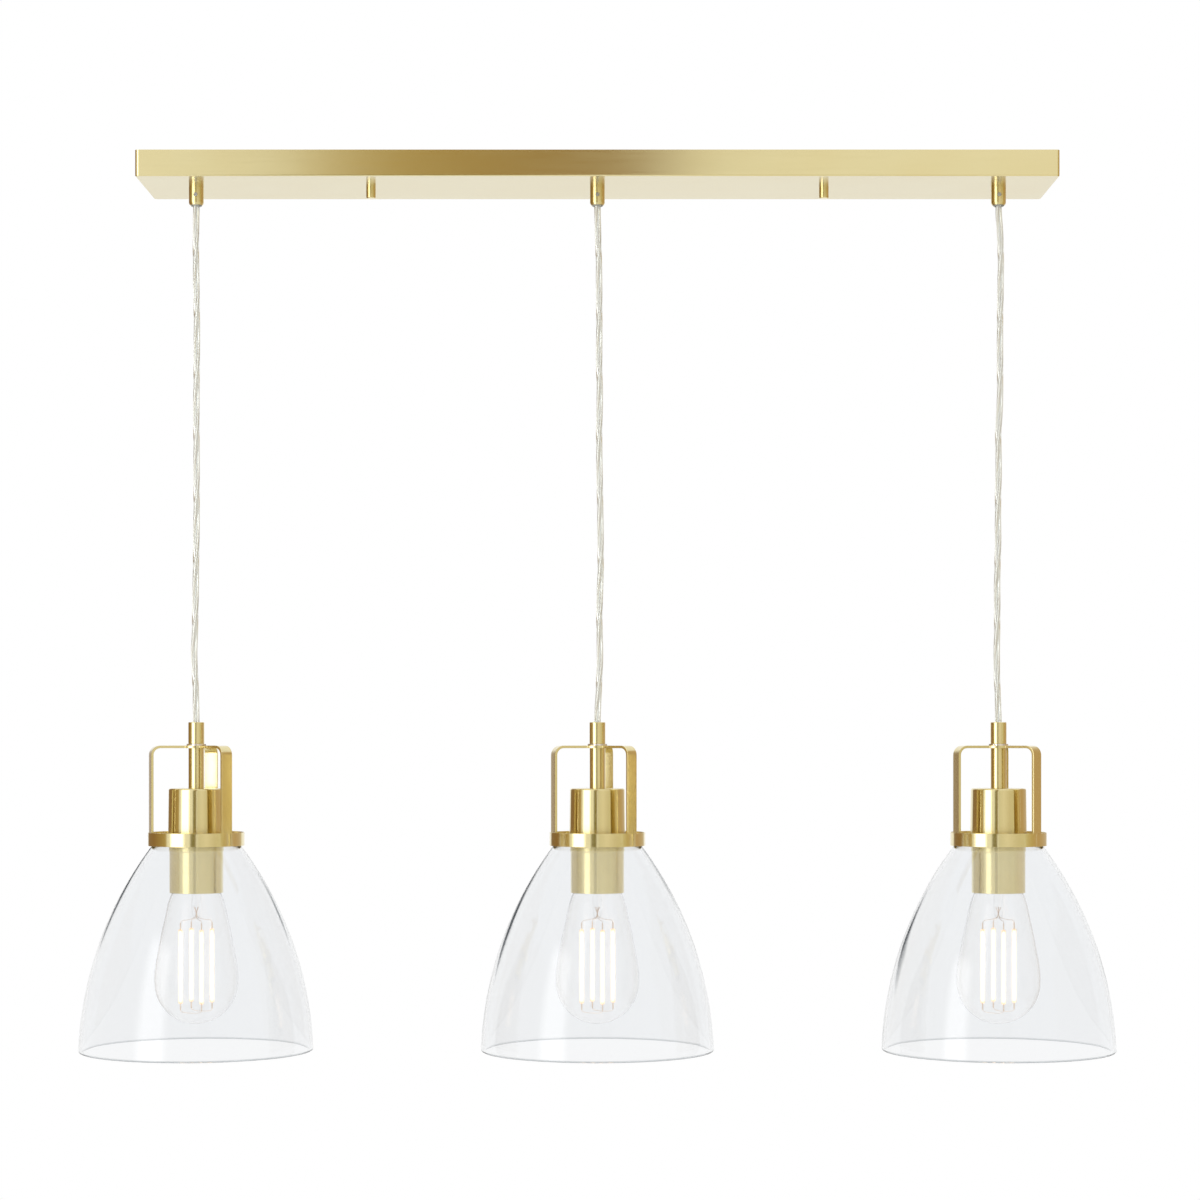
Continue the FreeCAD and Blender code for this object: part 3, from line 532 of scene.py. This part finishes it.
def makeFilaments(radius, inset, edge):
    bm = bmesh.new()
    for x, y in filamentPlaces():
        middle = (x * filamentLook["circle"], y * filamentLook["circle"], (stripTop + stripFoot) / 2)
        bmesh.ops.create_cone(bm, cap_ends=True, segments=24, radius1=radius, radius2=radius,
                              depth=filamentLook["length"] - 2 * inset, matrix=Matrix.Translation(middle))
    return easeEdges(bm, edge, segments=3, sharper=60)


tabLook = {"length": 5.0, "width": 1.1, "thickness": 0.35, "edge": 0.08}


def makeTabs():
    bm = bmesh.new()
    length = tabLook["length"]
    for x, y in filamentPlaces():
        for height in (stripTop + length / 2, stripFoot - length / 2):
            middle = Matrix.Translation((x * filamentLook["circle"], y * filamentLook["circle"], height))
            size = Matrix.Diagonal((tabLook["width"], tabLook["thickness"], length, 1))
            bmesh.ops.create_cube(bm, size=1, matrix=middle @ size)
    return easeEdges(bm, tabLook["edge"], segments=1, sharper=60)


phosphorLook = {"base": "#FBE9D6", "glow": "#FBE0C8", "end": "#E6B67A", "endLength": 3.5, "strength": 0.8}


def makePhosphor():
    # Silicone coat with phosphor, moulded over the chips: a soft peach glow, orange where no chip lies
    material, tree, shader = newMaterial("phosphorSiliconeCoat", {
        "Base Color": linear(phosphorLook["base"]), "Roughness": 0.5, "IOR": 1.41, "Alpha": 0.55,
        "Emission Strength": phosphorLook["strength"]})
    coords = addNode(tree, "TexCoord").outputs["Object"]
    height = addNode(tree, "SeparateXYZ", {0: coords}).outputs["Z"]
    middle, half = (stripTop + stripFoot) / 2 * mm, (stripTop - stripFoot) / 2 * mm
    away = addNode(tree, "Math", {0: height, 1: -middle}, operation="ADD").outputs[0]
    away = addNode(tree, "Math", {0: away}, operation="ABSOLUTE").outputs[0]
    share = addNode(tree, "MapRange", {"Value": away, "From Min": half - phosphorLook["endLength"] * mm,
                                       "From Max": half}, interpolation_type="SMOOTHSTEP").outputs[0]
    tone = addNode(tree, "Mix", {"Factor": share, 6: linear(phosphorLook["glow"]),
                                 7: linear(phosphorLook["end"])}, data_type="RGBA").outputs[2]
    tree.links.new(tone, shader.inputs["Emission Color"])
    material.cycles.emission_sampling = "NONE"
    return material


def newCurve(name, radius, fineness):
    curve = bpy.data.curves.new(name, "CURVE")
    curve.dimensions = "3D"
    curve.bevel_depth = radius
    curve.bevel_resolution = fineness
    curve.resolution_u = 6
    curve.use_fill_caps = True
    return curve


def addRoute(curve, points):
    spline = curve.splines.new("NURBS")
    spline.points.add(len(points) - 1)
    for point, co in zip(spline.points, points):
        point.co = (*co, 1)
    spline.order_u = 3
    spline.use_endpoint_u = True


wireLook = {"radius": 0.2, "overlap": 1.0, "rise": 2.0, "gather": 0.5, "footCircle": 1.6,
            "dip": 1.0, "entry": 2.0, "end": 9.0}  # the last three are heights at the glass stem's tip


def makeWires(side):
    circle, footCircle = filamentLook["circle"], wireLook["footCircle"]
    tabTop, tabFoot = stripTop + tabLook["length"], stripFoot - tabLook["length"]
    stemEnd = level("filaments") - glassStemLook["knots"][-1][1]
    gathered = circle * wireLook["gather"]
    turn = Matrix.Rotation(math.radians(filamentLook["turns"][side]), 2)
    places = [turn @ Vector(spot) for spot in filamentPlaces()]
    routes = [[(x * circle, y * circle, tabTop - wireLook["overlap"]),
               (x * circle, y * circle, tabTop + wireLook["rise"]),
               (x * gathered, y * gathered, stemEnd - wireLook["dip"]),
               (-x * footCircle, y * footCircle, stemEnd + wireLook["entry"]),
               (x * footCircle, -y * footCircle, stemEnd + wireLook["end"])] for x, y in places]
    drop = Vector((0, 0, -wireLook["rise"]))
    for pair in (places[:2], places[2:]):
        first, second = (Vector((x * circle, y * circle, tabFoot)) for x, y in pair)
        routes.append([first, first + drop, second + drop, second])
    curve = newCurve("filamentWires", wireLook["radius"] * mm, 2)
    for route in routes:
        addRoute(curve, [(lampX[side] + x * mm, y * mm, z * mm) for x, y, z in route])
    curve.materials.append(nickelWire)
    return curve


placeOnLamps("bulbGlass", makeBulbGlass(), onEachLamp(bulbGlass), "bulb", "bulb_glass")
strips = (
    ("filamentChips", makeFilaments(filamentLook["coreRadius"], filamentLook["coreInset"],
                                    filamentLook["coreEdge"]), litChips),
    ("filamentCoat", makeFilaments(filamentLook["coatRadius"], 0, filamentLook["coatEdge"]), makePhosphor()),
    ("filamentTabs", makeTabs(), nickelWire))
for name, bm, material in strips:
    placeOnLamps(name, bm, onEachLamp(material), "bulb", "filaments", filamentLook["turns"])
placeOnLamps("glassStem", makeGlassStem(), onEachLamp(bulbGlass), "bulb", "filaments")
for side in sides:
    place("filamentWires" + side.capitalize(), makeWires(side), "bulb_" + side,
          ["filaments_" + side])
print("bulbs made")


# cords

cordLook = {"diameter": 5.0, "top": -32.0, "end": -436.0, "straight": 8.0, "strands": 2,
            "strandRadius": 1.15, "strandGap": 1.02, "strandPitch": 95.0, "strandFacets": 160}
cordLine = {  # (height, sideways step) in mm: each cord keeps the slight waves it has on the photo
    "left": [(-64.9, -0.5), (-95.8, 0), (-126.7, 0.5), (-157.6, 0.3), (-188.5, -0.1), (-219.5, 0.2),
             (-281.3, 0.2), (-312.2, -0.3), (-343.1, -0.6), (-366.3, -1.2), (-381.8, -1.9), (-397.3, -0.8)],
    "centre": [(-64.9, 0.9), (-95.8, 1.4), (-126.7, 1.5), (-157.6, 1.3), (-180.8, 2.0), (-211.7, 1.2),
               (-242.7, 1.7), (-273.6, 2.3), (-312.2, 2.7), (-335.4, 1.8), (-358.6, 1.4), (-381.8, 2.2),
               (-405.0, 1.2)],
    "right": [(-49.4, 1.0), (-72.6, 2.0), (-111.2, 1.4), (-134.4, 1.1), (-165.3, 1.3), (-188.5, 1.2),
              (-211.7, -0.5), (-234.9, 0.4), (-265.8, -0.6), (-296.8, -0.1), (-320.0, -1.2),
              (-350.9, -0.8), (-381.8, -1.5), (-405.0, -1.0)],
}


def routeCurve(name, points, radius):
    curve = newCurve(name, radius, 6)
    addRoute(curve, points)
    return curve


def routeLine(points):  # the points that the cord's own line passes through
    holder = bpy.data.objects.new("route", routeCurve("route", points, 0))
    line = bpy.data.meshes.new_from_object(holder)
    found = sorted((vert.co.copy() for vert in line.vertices), key=lambda co: -co.z)
    bpy.data.objects.remove(holder)
    return found


def makeStrands(line):
    curve = newCurve("strands", cordLook["strandRadius"] * mm, 3)
    pitch, offset = cordLook["strandPitch"] * mm, cordLook["strandRadius"] * cordLook["strandGap"] * mm
    top, drop, facets = line[0].z, line[-1].z - line[0].z, cordLook["strandFacets"]
    for number in range(cordLook["strands"]):
        spline = curve.splines.new("POLY")
        spline.points.add(facets)
        for step, point in enumerate(spline.points):
            height = top + drop * step / facets
            below = max(next((i for i, co in enumerate(line) if co.z <= height), len(line) - 1), 1)
            high, low = line[below - 1], line[below]
            share = (high.z - height) / max(high.z - low.z, 1e-9)
            middle = high.lerp(low, min(max(share, 0), 1))
            angle = 2 * math.pi * (height / pitch + number / cordLook["strands"])
            point.co = (middle.x + offset * math.cos(angle), offset * math.sin(angle), height, 1)
    curve.materials.append(tinnedCopper)
    return curve


def makeCord(side):
    x0 = lampX[side]
    top, end, straight = cordLook["top"], cordLook["end"], cordLook["straight"]
    steps = [(top, 0), (top - straight, 0), *cordLine[side], (end + straight, 0), (end, 0)]
    points = [(x0 + shift * mm, 0, height * mm) for height, shift in steps]
    strands = place("cordStrands" + side.capitalize(), makeStrands(routeLine(points)),
                    "hanging_cord_" + side)
    jacketCurve = routeCurve("cordJacket", points, cordLook["diameter"] / 2 * mm)
    jacketCurve.materials.append(clearPvc)
    jacket = place("cordJacket" + side.capitalize(), jacketCurve, "hanging_cord_" + side,
                   ["cord_" + side])


for side in sides:
    makeCord(side)
print("cords made")


# finishes of the pieces that keep their solid's mesh

dress("canopy_pan", brassLong)
dress("cap_nuts", brassPlain)
for node in ("ceiling_bracket", "bracket_studs", "stud_nuts", "grip_nuts", "grip_set_screws"):
    dress(node, zincSteel)
dress("terminal_block", whitePlastic)
dress("inner_leads", greyPvc)
for side in sides:
    dress("cord_grip_" + side, brassTurned[side])
    dress("cord_bushing_" + side, clearNylon)
    dress("lock_washer_" + side, springSteel)
    dress("lampholder_" + side, phenolic)
    dress("holder_contacts_" + side, contactBrass)
    dress("bulb_contact_" + side, contactBrass)
    dress("bulb_cap_" + side, nickelCap)
print("CAD pieces dressed")


# floor, light and camera

studio = {"floorLevel": -2.4, "floorSize": 5.0, "ambient": 0.62,
          "fillAt": (-1.50, -1.40, 0.2), "fillAim": (0.0, 0.0, -0.45), "fillWidth": 1.2, "fillHeight": 2.0,
          "fillPower": 30.0}
cardRays = {"mirrored": 0.5, "frontWall": (2.5, 3.5), "behindGlass": 0.4}  # how deep a ray's path is
cards = {  # glowing and warm boards round the lamps, as in a furnished room; only reflections show them
    "key": {"from": (-1.86, -0.98), "to": (-1.00, -1.86), "low": -1.7, "high": 0.72,
            "soft": (0.15, 0.2, 0.25), "strength": 3.0, "seenBy": "metal", "behindGlass": 0.0,
            "colours": ("#FFFFFF", "#FFFFFF")},
    "keyGlass": {"from": (-1.88, -0.96), "to": (-0.96, -1.90), "low": -1.05, "high": 0.75,
                 "soft": (0.45, 0.4, 0.35), "strength": 2.4, "seenBy": "glass", "behindGlass": 1.0,
                 "colours": ("#FFFFFF", "#FFFFFF")},
    "leftBack": {"from": (-1.30, 2.25), "to": (-2.45, -1.00), "low": -2.3, "high": 1.2,
                 "soft": (0.4, 0.3, 0.3), "seenBy": "metal", "colours": ("#8A7358", "#9A7A50", "#C4AE74")},
    "frontRight": {"from": (0.0, -2.1), "to": (2.30, -1.22), "low": -2.3, "high": 0.1,
                   "soft": (0.2, 0.05, 0.3), "seenBy": "metal",
                   "colours": ("#DCD8C4", "#F0EADA", "#DCD3B9", "#DBD3B0")},
    "right": {"from": (2.30, -1.22), "to": (2.60, 0.2), "low": -2.3, "high": 1.2, "soft": (0.05, 0.05, 0.3),
              "seenBy": "metal", "colours": ("#DBD3B0", "#CDB987", "#C8AA7C")},
    "rightBack": {"from": (2.60, 0.2), "to": (1.22, 2.30), "low": -2.3, "high": 1.2,
                  "soft": (0.05, 0.4, 0.3), "seenBy": "metal", "colours": ("#C8AA7C", "#CDB698", "#D2C4B0")},
    "gapLow": {"from": (-0.62, -2.1), "to": (-0.02, -2.1), "low": -1.8, "high": -0.05,
               "soft": (0.12, 0.12, 0.1), "seenBy": "metal", "colours": ("#7C7444", "#7C7444")},
    "gapHigh": {"from": (-0.50, -2.1), "to": (0.16, -2.1), "low": -0.15, "high": 1.9,
                "soft": (0.18, 0.12, 0.1), "seenBy": "metal", "colours": ("#D8C68C", "#B0935A", "#7A5A1E")},
    "edgeLeft": {"from": (-1.60, 8.80), "to": (-5.34, 7.46), "low": -0.35, "high": 0.9,
                 "soft": (0.5, 0.9, 0.35), "seenBy": "glass", "colours": ("#30363A", "#50565A")},
    "edgeRight": {"from": (1.25, 8.9), "to": (3.66, 8.22), "low": 0.2, "high": 1.0,
                  "soft": (0.4, 0.8, 0.3), "seenBy": "glass", "colours": ("#8E9294", "#8E9294")},
}
view = {"lens": 90.0, "sensor": 36.0, "place": (0.002, -2.319, -0.439), "rise": 0.1083}


def stageMesh(name, bm, material):
    mesh = bpy.data.meshes.new(name)
    bm.to_mesh(mesh)
    bm.free()
    mesh.materials.append(material)
    board = bpy.data.objects.new(name, mesh)
    bpy.context.scene.collection.objects.link(board)
    return board


def seenRays(tree):  # 1 for what the camera, metal and glass see, 0 for the soft light that the room gives
    path = addNode(tree, "LightPath")
    seen = path.outputs["Is Camera Ray"]
    for other in ("Is Glossy Ray", "Is Transmission Ray"):
        seen = addNode(tree, "Math", {0: seen, 1: path.outputs[other]}, operation="MAXIMUM").outputs[0]
    return seen


def makeFloor():
    material, tree, shader = newMaterial("paleFloor", {"Base Color": linear("#F0F0EE"), "Roughness": 0.9})
    white = addNode(tree, "Emission", {"Color": linear("#FFFFFF"), "Strength": 1.0})
    mixed = addNode(tree, "MixShader", {0: seenRays(tree), 1: shader.outputs[0], 2: white.outputs[0]})
    tree.links.new(mixed.outputs[0], tree.nodes["Material Output"].inputs["Surface"])
    bm = bmesh.new()
    bmesh.ops.create_grid(bm, x_segments=1, y_segments=1, size=studio["floorSize"],
                          matrix=Matrix.Translation((0, 0, studio["floorLevel"])))
    stageMesh("floor", bm, material)


def cardShare(tree, look):  # satin metal and mirror-smooth glass see different cards
    path = addNode(tree, "LightPath")
    mirrored = addNode(tree, "Math", {0: path.outputs["Glossy Depth"], 1: cardRays["mirrored"]},
                       operation="GREATER_THAN").outputs[0]
    metal = look["seenBy"] == "metal"
    behind = look.get("behindGlass", cardRays["behindGlass"])  # for what stands behind a shade's front wall
    outside = addNode(tree, "MapRange", {
        "Value": path.outputs["Transmission Depth"], "From Min": cardRays["frontWall"][0],
        "From Max": cardRays["frontWall"][1], "To Min": 1.0, "To Max": 1 - behind if metal else behind})
    share = addNode(tree, "Math", {0: path.outputs["Is Singular Ray"], 1: outside.outputs[0]},
                    operation="MULTIPLY").outputs[0]
    if metal:
        share = addNode(tree, "Math", {0: 1.0, 1: share}, operation="SUBTRACT").outputs[0]
    return addNode(tree, "Math", {0: mirrored, 1: share}, operation="MULTIPLY").outputs[0]


def makeCard(name, look):
    material, tree, shader = newMaterial("card" + name, {})
    tree.nodes.remove(shader)
    start, end = Vector((*look["from"], 0)), Vector((*look["to"], 0))
    along, width = (end - start).normalized(), (end - start).length
    coords = addNode(tree, "NewGeometry").outputs["Position"]
    away = addNode(tree, "VectorMath", {0: coords, 1: start}, operation="SUBTRACT").outputs[0]
    reach = addNode(tree, "VectorMath", {0: away, 1: along}, operation="DOT_PRODUCT").outputs["Value"]
    height = addNode(tree, "SeparateXYZ", {0: coords}).outputs["Z"]
    tone = linear(look["colours"][0])
    pitch = width / (len(look["colours"]) - 1)
    for number, colour in enumerate(look["colours"][1:]):
        share = addNode(tree, "MapRange", {"Value": reach, "From Min": number * pitch,
                                           "From Max": (number + 1) * pitch}).outputs[0]
        tone = addNode(tree, "Mix", {"Factor": share, 6: tone, 7: linear(colour)},
                       data_type="RGBA").outputs[2]
    glow = addNode(tree, "Emission", {"Color": tone, "Strength": look.get("strength", 1.0)})
    share = cardShare(tree, look)
    softStart, softEnd, softRise = look["soft"]
    for value, bare, full in ((reach, 0, softStart), (reach, width, width - softEnd),
                              (height, look["low"], look["low"] + softRise),
                              (height, look["high"], look["high"] - softRise)):
        fade = addNode(tree, "MapRange", {"Value": value, "From Min": bare, "From Max": full},
                       interpolation_type="SMOOTHSTEP").outputs[0]
        share = addNode(tree, "Math", {0: share, 1: fade}, operation="MULTIPLY").outputs[0]
    clear = addNode(tree, "BsdfTransparent")
    mixed = addNode(tree, "MixShader", {0: share, 1: clear.outputs[0], 2: glow.outputs[0]})
    tree.links.new(mixed.outputs[0], tree.nodes["Material Output"].inputs["Surface"])
    bm = bmesh.new()
    low, high = Vector((0, 0, look["low"])), Vector((0, 0, look["high"]))
    tip = bmesh.ops.create_vert(bm, co=start + low)["vert"][0]
    foot = bmesh.ops.extrude_vert_indiv(bm, verts=[tip])
    foot["verts"][0].co = end + low
    made = bmesh.ops.extrude_edge_only(bm, edges=foot["edges"])
    raised = [part for part in made["geom"] if isinstance(part, bmesh.types.BMVert)]
    bmesh.ops.translate(bm, verts=raised, vec=high - low)
    board = stageMesh("card" + name, bm, material)
    board.visible_camera = False
    board.visible_shadow = False
    board.visible_diffuse = False


def makeWorld():
    world = bpy.data.worlds.new("softRoom")
    bpy.context.scene.world = world
    world.use_nodes = True
    tree = world.node_tree
    strength = addNode(tree, "MapRange", {"Value": seenRays(tree), "To Min": studio["ambient"],
                                          "To Max": 1.0})
    background = tree.nodes["Background"]
    background.inputs["Color"].default_value = linear("#FFFFFF")
    tree.links.new(strength.outputs[0], background.inputs["Strength"])


def makeFill():
    lamp = bpy.data.lights.new("fillSoftBox", "AREA")
    lamp.shape = "RECTANGLE"
    lamp.size, lamp.size_y, lamp.energy = studio["fillWidth"], studio["fillHeight"], studio["fillPower"]
    box = bpy.data.objects.new("fillSoftBox", lamp)
    box.location = studio["fillAt"]
    towards = Vector(studio["fillAim"]) - Vector(studio["fillAt"])
    box.rotation_euler = towards.to_track_quat("-Z", "Y").to_euler()
    box.visible_camera = False
    box.visible_glossy = False
    box.visible_transmission = False
    bpy.context.scene.collection.objects.link(box)


def makeCamera():
    data = bpy.data.cameras.new("camera")
    data.lens, data.sensor_width, data.shift_y = view["lens"], view["sensor"], view["rise"]
    camera = bpy.data.objects.new("camera", data)
    camera.location = view["place"]
    camera.rotation_euler = (math.pi / 2, 0, 0)
    bpy.context.scene.collection.objects.link(camera)
    bpy.context.scene.camera = camera


makeFloor()
for name, look in cards.items():
    makeCard(name[0].upper() + name[1:], look)
makeWorld()
makeFill()
makeCamera()
bpy.context.scene.view_settings.view_transform = "Standard"
print("studio made")
